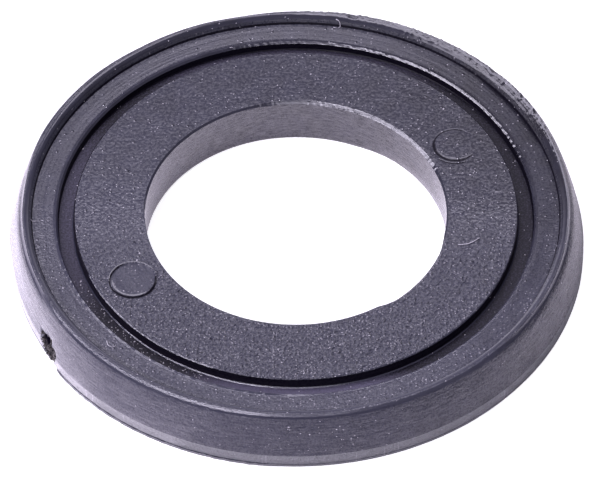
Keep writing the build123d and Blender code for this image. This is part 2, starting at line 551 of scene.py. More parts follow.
def flush_mark_relief(offset, s):
    """The groove round the level pin mark."""
    if offset.length > s.mark_radius * MARK_REACH:
        return 0.0
    return -0.045 * MM * flush_outline(offset, s)


# How far a pin mark changes the face round it, and the fine rings of points that draw it, in its radii
MARK_REACH = 1.35
MARK_RINGS = (0.25, 0.5, 0.7, 0.8, 0.88, 0.93, 0.96, 0.985, 1.01, 1.035, 1.065, 1.1, 1.15, 1.22, 1.3)

# Small pits left by trapped air: angle, distance from the axis and radius in millimetres
PITS = (
    (223, 12.45, 0.16),
    (234, 12.2, 0.13),
    (194, 13.15, 0.12),
    (244, 15.0, 0.13),
    (175, 14.8, 0.11),
    (161.5, 14.05, 0.12),
    (118, 16.4, 0.09),
    (300, 15.9, 0.1),
    (322, 14.1, 0.1),
    (8, 16.2, 0.11),
    (262, 13.5, 0.09),
)
# How far a pit reaches, and the fine rings of points that draw it, in its radii
PIT_REACH = 2.4
PIT_RINGS = (0.4, 0.7, 1.0, 1.3, 1.8)


def pit_centre(degrees, from_axis):
    """The middle of a pit, from its angle and its distance from the axis in millimetres."""
    turn = math.radians(degrees)
    return Vector((math.cos(turn), math.sin(turn))) * from_axis * MM


def pit_relief(point):
    """The depth of the small air pits, each with a slightly raised edge."""
    depth = 0.0
    for degrees, from_axis, size in PITS:
        away = (point - pit_centre(degrees, from_axis)).length / (size * MM)
        if away < PIT_REACH:
            raised = 0.35 * math.exp(-(((away - 1.15) / 0.3) ** 2))
            sunk = 0.85 * math.exp(-(away**2) * 1.6)
            depth += size * MM * (raised - sunk)
    return depth


def face_relief(point, s):
    """Height of the inner face above or below its nominal plane at one point."""
    flush, sunk = mark_centres(s)
    spread = Vector((point.x, point.y, 0)) / (2.4 * MM)
    waves = 0.008 * MM * noise.noise(spread)
    return waves + pit_relief(point) + sunk_mark_relief(point - sunk, s) + flush_mark_relief(point - flush, s)


def circle_points(centre, radius, count, shift=0.0):
    """Points round a circle on the face."""
    turns = [math.tau * (k + shift) / count for k in range(count)]
    return [Vector((centre.x + radius * math.cos(t), centre.y + radius * math.sin(t))) for t in turns]


def face_points(s, inner_radius, outer_radius):
    """Points inside the face: fine rings round the marks and pits, coarser ones over the rest."""
    points = []
    keep_out = []
    for centre in mark_centres(s):
        keep_out.append((centre, s.mark_radius * MARK_RINGS[-1]))
        points.append(centre)
        for share in MARK_RINGS:
            points += circle_points(centre, s.mark_radius * share, max(16, round(110 * min(1, share))), share)
    for degrees, from_axis, size in PITS:
        centre = pit_centre(degrees, from_axis)
        keep_out.append((centre, size * MM * 2.2))
        points.append(centre)
        for share in PIT_RINGS:
            points += circle_points(centre, size * MM * share, 14, share)

    draw = np.random.default_rng(5)
    spacing = 0.3 * MM
    # Rings close to both edges hold the face flat there, with a half and a quarter of their points
    holding = ((0.05 * MM, 2), (0.14 * MM, 4))
    rings = [(inner_radius + step, s.segments // share) for step, share in holding]
    rings += [(outer_radius - step, s.segments // share) for step, share in holding]
    margin = 0.25 * MM
    span = outer_radius - inner_radius - 2 * margin
    for k in range(round(span / spacing) + 1):
        ring = inner_radius + margin + span * k / round(span / spacing)
        rings.append((ring, round(math.tau * ring / spacing)))
    axis = Vector((0, 0))
    for ring, count in rings:
        for point in circle_points(axis, ring, count, draw.uniform()):
            clear = all((point - centre).length > reach for centre, reach in keep_out)
            if clear and inner_radius < point.length < outer_radius:
                points.append(point)
    return [p for p in points if inner_radius + 0.03 * MM < p.length < outer_radius - 0.03 * MM]


def beyond_loop(loop, point):
    """Whether a point lies outside a loop whose points stand at even angles round the axis."""
    step = math.tau / len(loop)
    k = int((math.atan2(point.y, point.x) % math.tau) / step) % len(loop)
    start, end = loop[k], loop[(k + 1) % len(loop)]
    return (end - start).cross(point - start) < 0


def fill_face(s, inner, outer):
    """Triangles over the inner face between two loops of points.

    Returns the new points and the triangles; corners below the loops' count are the loops' own points.
    """
    count = len(inner)
    widest = max(p.length for p in inner)
    narrowest = min(p.length for p in outer)
    points = inner + outer + face_points(s, widest, narrowest)
    loops = [(k, (k + 1) % count) for k in range(count)]
    loops += [(count + k, count + (k + 1) % count) for k in range(count)]
    placed, _, triangles, sources, _, _ = delaunay_2d_cdt([p / MM for p in points], loops, [], 0, 1e-6)
    corner = {}
    added = []
    for k, source in enumerate(sources):
        first = min(source) if source else len(points)
        if first < 2 * count:
            corner[k] = first
        else:
            corner[k] = 2 * count + len(added)
            added.append(placed[k] * MM)
    kept = []
    for triangle in triangles:
        centre = sum((placed[k] for k in triangle), Vector((0, 0))) * MM / 3
        if beyond_loop(inner, centre) and not beyond_loop(outer, centre):
            kept.append([corner[k] for k in triangle])
    return added, kept


# Materials


def add_node(tree, kind, settings, inputs):
    """Adds a node with its settings. Inputs are set, or linked to a socket or a node's first output."""
    node = tree.nodes.new("ShaderNode" + kind)
    for name, value in settings.items():
        setattr(node, name, value)
    for name, value in inputs.items():
        if isinstance(value, bpy.types.Node):
            value = value.outputs[0]
        if isinstance(value, bpy.types.NodeSocket):
            tree.links.new(value, node.inputs[name])
        else:
            node.inputs[name].default_value = value
    return node


def vary(tree, value, operation, over, span, amounts):
    """A value combined with an amount that changes evenly over a span and is held at its ends."""
    ends = {"From Min": span[0], "From Max": span[1], "To Min": amounts[0], "To Max": amounts[1]}
    amount = add_node(tree, "MapRange", {"interpolation_type": "SMOOTHSTEP"}, {"Value": over, **ends})
    return add_node(tree, "Math", {"operation": operation}, {0: value, 1: amount})


def ring_place(tree):
    """Where a point of the surface lies: all in millimetres, and its turn round the ring in radians."""
    metres = add_node(tree, "TexCoord", {}, {}).outputs["Object"]
    point = add_node(tree, "VectorMath", {"operation": "SCALE"}, {"Vector": metres, "Scale": 1 / MM})
    parts = add_node(tree, "SeparateXYZ", {}, {"Vector": point}).outputs
    flat = add_node(tree, "VectorMath", {"operation": "MULTIPLY"}, {0: point, 1: (1.0, 1.0, 0.0)})
    distance = add_node(tree, "VectorMath", {"operation": "LENGTH"}, {0: flat}).outputs["Value"]
    turn = add_node(tree, "Math", {"operation": "ARCTAN2"}, {0: parts["Y"], 1: parts["X"]})
    return SimpleNamespace(
        point=point, right=parts["X"], back=parts["Y"], up=parts["Z"], distance=distance, turn=turn
    )


def spots(tree, point, spacing, size, share):
    """Small round spots here and there, 1 at their middles; share says how many cells of a grid hold one."""
    settings = {"feature": "F1", "voronoi_dimensions": "2D"}
    cells = add_node(tree, "TexVoronoi", settings, {"Vector": point, "Scale": 1 / spacing}).outputs
    lottery = add_node(tree, "SeparateColor", {}, {"Color": cells["Color"]})
    chosen = add_node(tree, "Math", {"operation": "LESS_THAN"}, {0: lottery, 1: share})
    return vary(tree, chosen, "MULTIPLY", cells["Distance"], (0.0, size / spacing), (1.0, 0.0))


def new_material(name):
    """An empty node material."""
    material = bpy.data.materials.new(name)
    material.use_nodes = True
    material.node_tree.nodes.clear()
    return material, material.node_tree


def close_surface(tree, inputs):
    """Ends a material in its one shader."""
    shader = add_node(tree, "BsdfPrincipled", {}, inputs)
    add_node(tree, "OutputMaterial", {}, {"Surface": shader})


def rgba(colour_value):
    """A colour with full alpha, as node sockets take it."""
    return (*colour_value[:3], 1.0)


def tool_marks(tree, place, radii, hammered):
    """Single turned lines round the axis, broken up by the hammered texture."""
    line_width = 0.1
    turned = 0.0
    for radius in radii:
        outwards = add_node(tree, "Math", {"operation": "SUBTRACT"}, {0: place.distance, 1: radius})
        aside = add_node(tree, "Math", {"operation": "ABSOLUTE"}, {0: outwards})
        line = vary(tree, hammered, "MULTIPLY", aside, (0.0, line_width), (1.0, 0.0))
        turned = add_node(tree, "Math", {"operation": "ADD"}, {0: turned, 1: line})
    return turned


def moulded_relief(tree, place, fine, hammered, turned, finish):
    """The mould's grain with its tool marks, as a height field."""
    # The ripple is fainter on the left, and all the grain on the far half, where the steel was more worn
    ripple = vary(tree, hammered, "MULTIPLY", place.right, (-17.0, -2.0), (0.75, 0.9))
    lumps = add_node(tree, "Math", {"operation": "ADD"}, {0: fine, 1: ripple})
    lumps = vary(tree, lumps, "MULTIPLY", place.back, (-9.0, 3.0), (1.5, 0.11))
    lumps = vary(tree, lumps, "MULTIPLY", place.right, (-19.0, -6.0), (finish.calm_left, 1.0))
    if finish.tool_rings:
        grooves = vary(tree, turned, "MULTIPLY", place.back, (-8.0, 2.0), (0.35, 0.0))
        lumps = add_node(tree, "Math", {"operation": "SUBTRACT"}, {0: lumps, 1: grooves})
    return lumps


def rubbed_stretch(tree, place, drawn, scuffed):
    """How much one stretch of the ring has been rubbed pale, in streaks."""
    amount, start, whole, fading, end = scuffed
    rising = (math.radians(start), math.radians(whole))
    falling = (math.radians(fading), math.radians(end))
    rubbed = vary(tree, 1.0, "MULTIPLY", place.turn, rising, (0.0, 1.0))
    rubbed = vary(tree, rubbed, "MULTIPLY", place.turn, falling, (1.0, 0.08))
    return vary(tree, rubbed, "MULTIPLY", drawn, (0.3, 0.7), (amount * 0.6, amount * 1.4))


def shine_level(tree, place, fine, drawn, turned, finish):
    """How much the rubber mirrors from place to place."""
    grainy = add_node(tree, "Math", {"operation": "MULTIPLY"}, {0: fine, 1: 1 - finish.streaky})
    streaks = add_node(tree, "Math", {"operation": "MULTIPLY"}, {0: drawn, 1: finish.streaky})
    mottled = add_node(tree, "Math", {"operation": "ADD"}, {0: grainy, 1: streaks})
    swing = add_node(tree, "Math", {"operation": "SUBTRACT"}, {0: mottled, 1: 0.5})
    swing = vary(tree, swing, "MULTIPLY", place.back, (-7.0, 9.0), (1.0, finish.calm_far))
    mottled = add_node(tree, "Math", {"operation": "ADD"}, {0: swing, 1: 0.5})
    level = vary(tree, finish.shine, "ADD", mottled, (0.36, 0.64), (-finish.uneven, finish.uneven))
    if finish.tool_rings:
        # Beyond the bore the turned lines face away from the lamps
        shaded = vary(tree, turned, "MULTIPLY", place.back, (0.0, 5.0), (0.0, -0.5))
        shaded = vary(tree, shaded, "MULTIPLY", place.right, (0.0, 5.0), (1.0, 0.0))
        shaded = add_node(tree, "Math", {"operation": "ADD"}, {0: shaded, 1: 1.0})
        level = add_node(tree, "Math", {"operation": "MULTIPLY"}, {0: level, 1: shaded})
    # Painted light: the shine is raised towards the near side, and lowered on the right by right_shine, so
    # that the near side reads lighter and the right darker
    level = vary(tree, level, "MULTIPLY", place.back, (-12.0, 12.0), (1.22, 1.06))
    return vary(tree, level, "MULTIPLY", place.right, (3.0, 19.0), (1.0, finish.right_shine))


def rubber(
    look,
    name,
    share,
    gloss,
    grain,
    lines,
    uneven,
    base=None,
    bloom=None,
    shine=0.5,
    right_shine=1.0,
    streaky=0.6,
    calm_far=1.0,
    calm_left=1.0,
    arc_length=0.35,
    dust_and_glints=0.0,
    pimples=0.0,
    tool_rings=(),
    scuffed=None,
):
    """One finish of the moulded rubber.

    Colour: base, the clean compound if not given, goes over into bloom by share. dust_and_glints says how
    many cells of a grid hold a pale speck, partly dust and partly a painted glint of the grain; pimples how
    many hold a small pimple, with a painted highlight on its lit flank. scuffed is a stretch rubbed pale: how
    much, and the angles in degrees where it starts, is whole, begins to fade and ends.

    Relief: grain is the mould's spark-eroded texture and lines run round the axis where the mould was turned,
    each as size and depth in millimetres. arc_length stretches the lines: the smaller, the longer they are.
    tool_rings are the radii of single turned lines. calm_left is the share of the grain left on the far left.

    Shine: gloss is the roughness and shine the mean level of what is mirrored. uneven says how much the level
    changes, and streaky how much of the change follows the lines and not the grain. calm_far is the share of
    the change on the far side, and right_shine the share of the shine on the right.
    """
    base = rgba(base or look.compound)
    bloom = rgba(bloom or look.bloom)
    finish = SimpleNamespace(
        shine=shine,
        uneven=uneven,
        right_shine=right_shine,
        streaky=streaky,
        calm_far=calm_far,
        calm_left=calm_left,
        tool_rings=tool_rings,
    )
    material, tree = new_material(name)
    place = ring_place(tree)
    soft = {"Roughness": 0.6}
    full = {"Strength": 1.0}
    colours = {"data_type": "RGBA"}

    plain = {"Vector": place.point, "Detail": 1.0, **soft}
    fine = add_node(tree, "TexNoise", {}, {"Scale": 1 / grain[0], **plain})
    hammered = add_node(tree, "TexNoise", {}, {"Scale": 1 / (grain[0] * 2.2), **plain})
    arc = add_node(tree, "Math", {"operation": "MULTIPLY"}, {0: place.turn, 1: arc_length})
    around = add_node(tree, "CombineXYZ", {}, {"X": place.distance, "Y": arc, "Z": place.up})
    drawn = add_node(tree, "TexNoise", {}, {"Vector": around, "Scale": 1 / lines[0], "Detail": 3.0, **soft})
    turned = tool_marks(tree, place, tool_rings, hammered)
    lumps = moulded_relief(tree, place, fine, hammered, turned, finish)
    bump = add_node(tree, "Bump", {}, {"Distance": grain[1] * MM, "Height": lumps, **full})
    bump = add_node(tree, "Bump", {}, {"Distance": lines[1] * MM, "Height": drawn, "Normal": bump, **full})

    patches = add_node(tree, "TexNoise", {}, {"Vector": place.point, "Scale": 1 / 1.8, "Detail": 3.0, **soft})
    bloomed = vary(tree, share, "ADD", patches, (0.3, 0.7), (-0.3, 0.0))
    # Painted light: more bloom towards the near side and less on the right, so that the near side reads
    # lighter and the right darker, as the lamps fall
    bloomed = vary(tree, bloomed, "ADD", place.back, (-12.0, 14.0), (0.75, 0.0))
    bloomed = vary(tree, bloomed, "ADD", place.right, (0.0, 22.0), (0.0, -0.55))
    tone = add_node(tree, "Mix", colours, {0: bloomed, 6: base, 7: bloom}).outputs[2]
    if pimples:
        spacing = 0.62
        holding = vary(tree, pimples, "MULTIPLY", place.back, (-8.0, 16.0), (1.0, 0.3))
        raised = spots(tree, place.point, spacing, 0.12, holding)
        bump = add_node(tree, "Bump", {}, {"Distance": 0.09 * MM, "Height": raised, "Normal": bump, **full})
        # Painted highlight: a pale fleck on the flank of each pimple that faces the strip lamp
        aside = add_node(tree, "VectorMath", {"operation": "ADD"}, {0: place.point, 1: (0.06, 0.05, 0.0)})
        pimple_glints = spots(tree, aside, spacing, 0.085, holding)
        pimple_glints = add_node(tree, "Math", {"operation": "MULTIPLY"}, {0: pimple_glints, 1: 0.75})
        tone = add_node(tree, "Mix", colours, {0: pimple_glints, 6: tone, 7: rgba(look.dust)}).outputs[2]
    if dust_and_glints:
        # Pale specks, most on the near side: partly dust, partly painted glints of the grain
        holding = vary(tree, dust_and_glints, "MULTIPLY", place.back, (-14.0, -2.0), (1.0, 0.22))
        grit = spots(tree, place.point, 0.27, 0.075, holding)
        grit = vary(tree, grit, "MULTIPLY", patches, (0.35, 0.65), (0.12, 0.7))
        tone = add_node(tree, "Mix", colours, {0: grit, 6: tone, 7: rgba(look.dust)}).outputs[2]
    if scuffed:
        rubbed = rubbed_stretch(tree, place, drawn, scuffed)
        tone = add_node(tree, "Mix", colours, {0: rubbed, 6: tone, 7: rgba(look.band)}).outputs[2]

    rough = vary(tree, gloss, "ADD", fine, (0.3, 0.7), (-0.06, 0.06))
    level = shine_level(tree, place, fine, drawn, turned, finish)
    shine_inputs = {"Roughness": rough, "IOR": 1.55, "Specular IOR Level": level}
    close_surface(tree, {"Base Color": tone, "Normal": bump, **shine_inputs})
    return material


def dusty_rubber(look):
    """The channel's floor: black rubber turned grey by fine dust and by painted light, least of all on the
    right.
    """
    material, tree = new_material("epdm_rubber_dusty")
    place = ring_place(tree)
    cloudy = {"Vector": place.point, "Scale": 1 / 0.16, "Detail": 3.0, "Roughness": 0.6}
    # Painted light as well as dust: the grey is laid on thicker towards the near side, the far side and the
    # left, where the floor is lit
    settled = vary(tree, 0.0, "ADD", place.back, (-17.8, -15.6), (0.44, 0.0))
    settled = vary(tree, settled, "ADD", place.back, (13.0, 17.5), (0.0, 0.16))
    settled = vary(tree, settled, "ADD", place.right, (-17.6, -14.8), (0.2, 0.0))
    share = vary(tree, settled, "ADD", add_node(tree, "TexNoise", {}, cloudy), (0.35, 0.68), (-0.08, 0.14))
    colours = {0: share, 6: rgba(look.channel), 7: rgba(look.dusty)}
    tone = add_node(tree, "Mix", {"data_type": "RGBA"}, colours).outputs[2]
    grit = {"Vector": place.point, "Scale": 1 / 0.12, "Detail": 2.0, "Roughness": 0.6}
    gritty = add_node(tree, "TexNoise", {}, grit)
    bump = add_node(tree, "Bump", {}, {"Strength": 1.0, "Distance": 0.04 * MM, "Height": gritty})
    shine_inputs = {"Roughness": 0.5, "IOR": 1.5, "Specular IOR Level": 0.28}
    close_surface(tree, {"Base Color": tone, "Normal": bump, **shine_inputs})
    return material


def torn_rubber(look):
    """Raw torn rubber: no moulded skin, so a dull, fibrous break with paler stretched shreds."""
    material, tree = new_material("epdm_rubber_torn")
    place = ring_place(tree)
    # The shreds are 0.2 mm wide
    fibrous = {"Vector": place.point, "Scale": 5.0, "Detail": 4.0, "Roughness": 0.7, "Distortion": 1.2}
    shreds = add_node(tree, "TexNoise", {}, fibrous)
    pale = vary(tree, 1.0, "MULTIPLY", shreds, (0.45, 0.66), (0.0, 1.0))
    colours = {0: pale, 6: rgba(look.torn), 7: rgba(look.torn_light)}
    tone = add_node(tree, "Mix", {"data_type": "RGBA"}, colours).outputs[2]
    # Deep in the tear hardly any light gets out
    deep = vary(tree, 1.0, "MULTIPLY", place.distance, (22.35, 22.58), (1.0, 0.0))
    tone = add_node(tree, "Mix", {"data_type": "RGBA"}, {0: deep, 6: tone, 7: rgba(look.channel)}).outputs[2]
    level = vary(tree, 1.0, "MULTIPLY", deep, (0.0, 1.0), (0.35, 0.0))
    level = vary(tree, level, "MULTIPLY", shreds, (0.4, 0.6), (0.25, 1.0))
    bump = add_node(tree, "Bump", {}, {"Strength": 1.0, "Distance": 0.2 * MM, "Height": shreds})
    shine_inputs = {"Roughness": 0.6, "IOR": 1.5, "Specular IOR Level": level}
    close_surface(tree, {"Base Color": tone, "Normal": bump, **shine_inputs})
    return material


def rubber_finishes(look):
    """Every finish of the moulded piece, by the name that its surfaces use."""
    return {
        # EPDM, moulded against spark-eroded steel: a fine grain that sparkles
        "grained": rubber(
            look,
            "epdm_rubber_spark_grained",
            share=0.8,
            gloss=0.27,
            grain=(0.24, 0.17),
            lines=(0.3, 0.004),
            uneven=0.26,
            right_shine=0.97,
            streaky=0.25,
            calm_far=0.4,
            dust_and_glints=0.5,
            pimples=0.34,
            tool_rings=(13.7, 15.1),
        ),
        # EPDM, moulded against turned steel and bloomed: almost smooth, faint rings
        "bloomed": rubber(
            look,
            "epdm_rubber_bloomed",
            share=0.7,
            gloss=0.31,
            grain=(0.2, 0.08),
            lines=(0.2, 0.02),
            uneven=0.2,
            right_shine=0.55,
            calm_far=0.6,
            dust_and_glints=0.3,
            pimples=0.2,
            tool_rings=(19.3,),
        ),
        # EPDM, moulded against polished steel: a soft shine and fine drawn lines
        "smooth": rubber(
            look,
            "epdm_rubber_smooth",
            share=0.4,
            gloss=0.3,
            grain=(0.17, 0.04),
            lines=(0.1, 0.04),
            uneven=0.25,
            streaky=0.7,
            calm_left=0.08,
            arc_length=1.3,
        ),
        # EPDM, near black: painted shade on the channel's walls, the crease at the rim's foot, the pin marks'
        # outlines and the far left of the face's edge
        "painted_shade": rubber(
            look,
            "epdm_rubber_in_channel",
            base=look.channel,
            bloom=look.channel,
            share=0.5,
            gloss=0.45,
            grain=(0.2, 0.02),
            lines=(0.25, 0.01),
            uneven=0.08,
            shine=0.12,
        ),
        "torn": torn_rubber(look),
        # EPDM, scuffed where the foot is handled: paler and duller
        "scuffed": rubber(
            look,
            "epdm_rubber_scuffed",
            bloom=look.band,
            share=0.75,
            gloss=0.36,
            grain=(0.2, 0.09),
            lines=(0.12, 0.03),
            uneven=0.35,
            dust_and_glints=0.2,
        ),
        # EPDM, at moulded edges polished by use: they catch the light
        "edge": rubber(
            look,
            "epdm_rubber_edge",
            share=0.7,
            gloss=0.14,
            grain=(0.1, 0.008),
            lines=(0.2, 0.01),
            uneven=0.2,
        ),
        # EPDM on the channel's floor, greyed by fine dust and by painted light, most of all on the near side
        "dusty": dusty_rubber(look),
        # EPDM, moulded against the ground end of a pin: smooth
        "on_pin": rubber(
            look,
            "epdm_rubber_on_pin",
            share=0.6,
            gloss=0.38,
            grain=(0.17, 0.06),
            lines=(0.3, 0.006),
            uneven=0.16,
            shine=0.36,
            dust_and_glints=0.3,
        ),
        # EPDM, moulded like the shelf, then rubbed pale on the rim's far right
        "rubbed_rim": rubber(
            look,
            "epdm_rubber_rubbed_rim",
            share=0.7,
            gloss=0.31,
            grain=(0.2, 0.08),
            lines=(0.14, 0.03),
            uneven=0.24,
            right_shine=0.5,
            arc_length=0.9,
            dust_and_glints=0.3,
            scuffed=(1.1, -20, 8, 40, 92),
        ),
        # EPDM on the rim's inner slope, rubbed pale on the near right
        "rubbed_slope": rubber(
            look,
            "epdm_rubber_rubbed_slope",
            share=0.7,
            gloss=0.31,
            grain=(0.2, 0.08),
            lines=(0.14, 0.03),
            uneven=0.2,
            arc_length=0.9,
            dust_and_glints=0.5,
            scuffed=(0.65, -80, -50, -26, -8),
        ),
    }


def particle(name, colour_value, patch_size, roughness_value):
    """A small matt grain or fibre, with a slight change of tone along it."""
    material, tree = new_material(name)
    place = ring_place(tree)
    patches = add_node(tree, "TexNoise", {}, {"Vector": place.point, "Scale": 1 / patch_size, "Detail": 2.0})
    span = {"From Min": 0.3, "From Max": 0.7, "To Min": 0.7, "To Max": 1.1}
    brightness = add_node(tree, "MapRange", {}, {"Value": patches, **span})
    tone = add_node(tree, "HueSaturation", {}, {"Value": brightness, "Color": rgba(colour_value)})
    close_surface(tree, {"Base Color": tone, "Roughness": roughness_value, "IOR": 1.5})
    return material


# The moulded body


# The finish of each surface of the section; every other surface is smooth
FINISHES = {
    "face": "grained",
    "face_edge": "edge",
    "bore_edge": "edge",
    "shelf": "bloomed",
    "shelf_edge": "edge",
    # The crease at the rim's foot is painted in shade
    "rim_foot": "painted_shade",
    "bead": "edge",
    "rim_slope": "rubbed_slope",
    "rim": "rubbed_rim",
    "rim_edge": "edge",
    "rim_edge_low": "edge",
    "ridge": "edge",
    # The channel's walls are painted in shade
    "channel": "painted_shade",
    "channel_edge": "edge",
    "channel_floor": "dusty",
    "band": "scuffed",
    "foot_edge": "scuffed",
}

# Stretches of an edge that differ from the rest of it: surface, two angles in degrees and finish
OTHER_STRETCHES = (
    # The face's edge is painted in shade on the far left
    ("face_edge", 122, 202, "painted_shade"),
    ("face_edge", 248, 345, "bloomed"),
    ("shelf_edge", 262, 345, "bloomed"),
    ("rim_edge_low", 280, 352, "rubbed_slope"),
)


def finish_at(surface, degrees):
    """The finish of the body's surface at one angle."""
    for other, start, end, finish in OTHER_STRETCHES:
        if surface == other and start < degrees < end:
            return finish
    return FINISHES.get(surface, "smooth")


def face_finish(point, s):
    """The finish of the inner face at one point: grained, but for the pin marks, their outlines painted in
    shade and the painted highlight on the sunk mark's lip.
    """
    flush, sunk = mark_centres(s)
    if flush_outline(point - flush, s) > 0.38 or sunk_outline(point - sunk, s) > 0.45:
        return "painted_shade"
    # The lip's painted highlight takes the pale scuffed finish
    if lip_highlight(point - sunk, s) > 0.5:
        return "scuffed"
    if (point - sunk).length < s.mark_radius:
        return "on_pin"
    return FINISHES["face"]


def body_faces(section, face_row, turns, torn):
    """Faces between the section's rows, all but the inner face, and the finish of each."""
    rows, count = torn.shape
    faces = []
    finishes = []
    for row in range(rows):
        if row == face_row:
            continue
        after = (row + 1) % rows
        surface = section.rows[after][2]
        for k in range(count):
            n = (k + 1) % count
            faces.append([row * count + k, after * count + k, after * count + n, row * count + n])
            is_torn = torn[row, k] + torn[after, n] > 1.0
            finishes.append("torn" if is_torn else finish_at(surface, turns[0, k]))
    return faces, finishes


def check_closed(mesh):
    """Turns the faces outwards, and raises an error if the mesh is open."""
    shell = bmesh.new()
    shell.from_mesh(mesh)
    bmesh.ops.recalc_face_normals(shell, faces=shell.faces)
    open_edges = sum(1 for edge in shell.edges if len(edge.link_faces) != 2)
    shell.to_mesh(mesh)
    shell.free()
    if open_edges:
        raise RuntimeError(f"the ring's mesh isn't closed: {open_edges} edges don't join two faces")


def link_piece(name, mesh, materials):
    """Adds a finished mesh to the scene as a piece of the ring."""
    piece = bpy.data.objects.new(name, mesh)
    for material in materials:
        mesh.materials.append(material)
    bpy.context.scene.collection.objects.link(piece)
    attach(piece, "root")
    return piece


class RING_OT_moulded_body(bpy.types.Operator):
    """Builds the moulded ring with its worn edges, pin marks, pits and torn nick"""

    bl_idname = "ring.moulded_body"
    bl_label = "Moulded ring"

    def execute(self, context):
        s = context.scene.ring_sizes
        section, face_row = ring_section(s)
        radius, height, turns, torn = worn_rows(section, s)
        count = s.segments
        around = np.radians(turns)
        body = np.stack([radius * np.cos(around), radius * np.sin(around), height], -1)
        points = [Vector(p) for p in body.reshape(-1, 3)]
        faces, finishes = body_faces(section, face_row, turns, torn)

        start = face_row * count
        inner = [p.xy for p in points[start : start + count]]
        outer = [p.xy for p in points[start + count : start + 2 * count]]
        added, triangles = fill_face(s, inner, outer)
        first_added = len(points)
        points += [Vector((p.x, p.y, s.face_height + face_relief(p, s))) for p in added]
        for triangle in triangles:
            corners = [start + k if k < 2 * count else first_added + k - 2 * count for k in triangle]
            faces.append(corners)
            middle = sum((points[k].xy for k in corners), Vector((0, 0))) / 3
            finishes.append(face_finish(middle, s))

        mesh = bpy.data.meshes.new("moulded_ring")
        mesh.from_pydata(points, [], faces)
        materials = rubber_finishes(context.scene.rubber_look)
        piece = link_piece("moulded_ring", mesh, materials.values())
        slots = {name: k for k, name in enumerate(materials)}
        mesh.polygons.foreach_set("material_index", [slots[name] for name in finishes])
        check_closed(mesh)
        mesh.shade_smooth()
        mesh.set_sharp_from_angle(angle=math.radians(38))
        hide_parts("ring")
        return {"FINISHED"}


# Dust and fibres


# How far from the ring a ray starts that looks for its surface
CLEARANCE = 5 * MM


def ring_surface():
    """The ring's finished surface, to lay small things on."""
    mesh = bpy.data.objects["moulded_ring"].data
    return BVHTree.FromPolygons([v.co for v in mesh.vertices], [p.vertices for p in mesh.polygons])


def top_point(surface, degrees, from_axis):
    """The point and normal of the ring's upper surface at one place."""
    turn = math.radians(degrees)
    above = Vector((from_axis * math.cos(turn), from_axis * math.sin(turn), RING_HIGH.z + CLEARANCE))
    point, normal, _, _ = surface.ray_cast(above, Vector((0, 0, -1)))
    return point, normal


def side_point(surface, degrees, height):
    """The point and normal of the ring's outer side at one place."""
    turn = math.radians(degrees)
    outward = Vector((math.cos(turn), math.sin(turn), 0))
    start = outward * (RING_HIGH.x + CLEARANCE) + Vector((0, 0, height))
    point, normal, _, _ = surface.ray_cast(start, -outward)
    return point, normal


class RING_OT_dust(bpy.types.Operator):
    """Scatters mineral dust over the ring, more of it on the near side and in the channel"""

    bl_idname = "ring.dust"
    bl_label = "Dust"

    def execute(self, context):
        surface = ring_surface()
        draw = np.random.default_rng(42)
        grains = bmesh.new()
        places = []
        # Evenly over the top, then in the near left of the channel, over the near side and low on its middle
        for _ in range(420):
            degrees = draw.uniform(0, 360)
            places.append(top_point(surface, degrees, math.sqrt(draw.uniform(12.3**2, 21.8**2)) * MM))
        for _ in range(130):
            places.append(top_point(surface, draw.uniform(200, 248), draw.uniform(17.8, 18.9) * MM))
        for _ in range(80):
            places.append(side_point(surface, draw.uniform(180, 360), draw.uniform(0.5, 4.4) * MM))
        for _ in range(60):
            places.append(side_point(surface, draw.normal(272, 9), draw.uniform(0.9, 4.0) * MM))
        for point, normal in places:
            if point is None:
                raise RuntimeError("a grain of dust fell outside the ring")
            # A few grains are half as large again
            size = draw.uniform(0.026, 0.06) * MM * (1.4 if draw.uniform() > 0.93 else 1.0)
            grain = bmesh.ops.create_icosphere(grains, subdivisions=1, radius=size)["verts"]
            turn = normal.to_track_quat("Z", "Y").to_matrix().to_4x4()
            squash = Matrix.Diagonal((draw.uniform(0.7, 1.4), draw.uniform(0.6, 1.1), 0.5, 1))
            bmesh.ops.transform(grains, matrix=Matrix.Translation(point) @ turn @ squash, verts=grain)
            for vert in grain:
                vert.co += Vector(draw.uniform(-0.2, 0.2, 3)) * size
                vert.co.z = min(vert.co.z, RING_HIGH.z)
        mesh = bpy.data.meshes.new("dust_grains")
        grains.to_mesh(mesh)
        grains.free()
        # Mineral dust, crushed: dull, near white
        link_piece("dust_grains", mesh, [particle("mineral_dust", context.scene.rubber_look.dust, 0.1, 0.9)])
        return {"FINISHED"}


# Fibres lying on the ring: thickness in millimetres, then places as angle and distance from the axis
FIBRES = {
    "hair": (0.075, ((344.0, 13.36), (344.6, 13.85), (346.0, 14.35), (348.5, 14.83))),
    "lint_curl": (0.055, ((222.5, 20.02), (223.4, 20.28), (224.5, 20.24), (225.1, 20.02), (224.8, 19.82))),
    "rim_fibre": (0.06, ((80.9, 21.3), (79.9, 21.15), (79.8, 20.85), (80.6, 20.68), (81.4, 20.8))),
    "crease_fibre": (0.05, ((182.4, 21.1), (182.6, 20.7), (182.1, 20.35), (182.4, 20.05))),
    "pin_scratch_thread": (0.035, ((213.0, 12.9), (212.6, 12.62), (212.9, 12.4))),
}


